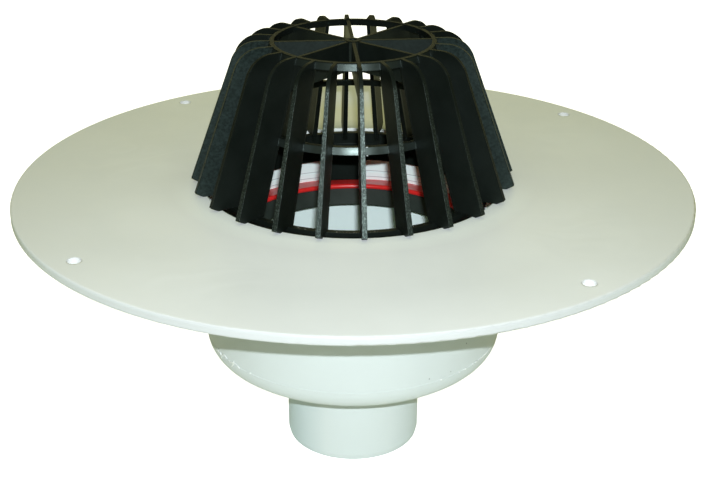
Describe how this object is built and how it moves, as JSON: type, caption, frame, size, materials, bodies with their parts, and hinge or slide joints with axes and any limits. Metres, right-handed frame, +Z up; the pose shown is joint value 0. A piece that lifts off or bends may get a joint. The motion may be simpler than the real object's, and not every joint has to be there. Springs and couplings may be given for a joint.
{
  "type": "flat roof drain",
  "caption": "Round plate with a pot, a vertical outlet spigot, a clamped lip seal and a lift-out ribbed leaf basket, draining a flat roof.",
  "frame": {"origin": "centre of the spigot's open end, on the drain's axis", "axes": "+Z up along the drain's axis, towards the leaf basket; -Y is the side that faces the viewer"},
  "size_m": [0.527, 0.527, 0.3399],
  "materials": {
    "plate": "satin",
    "pot": "satin",
    "seal": "matte",
    "ring": "gloss",
    "basket": "matte"
  },
  "bodies": {
    "root": {"connecting_plate": "plate", "drain_pot": "pot", "lip_seal": "seal", "retaining_ring": "ring", "leaf_basket": "basket"}
  },
  "joints": []
}
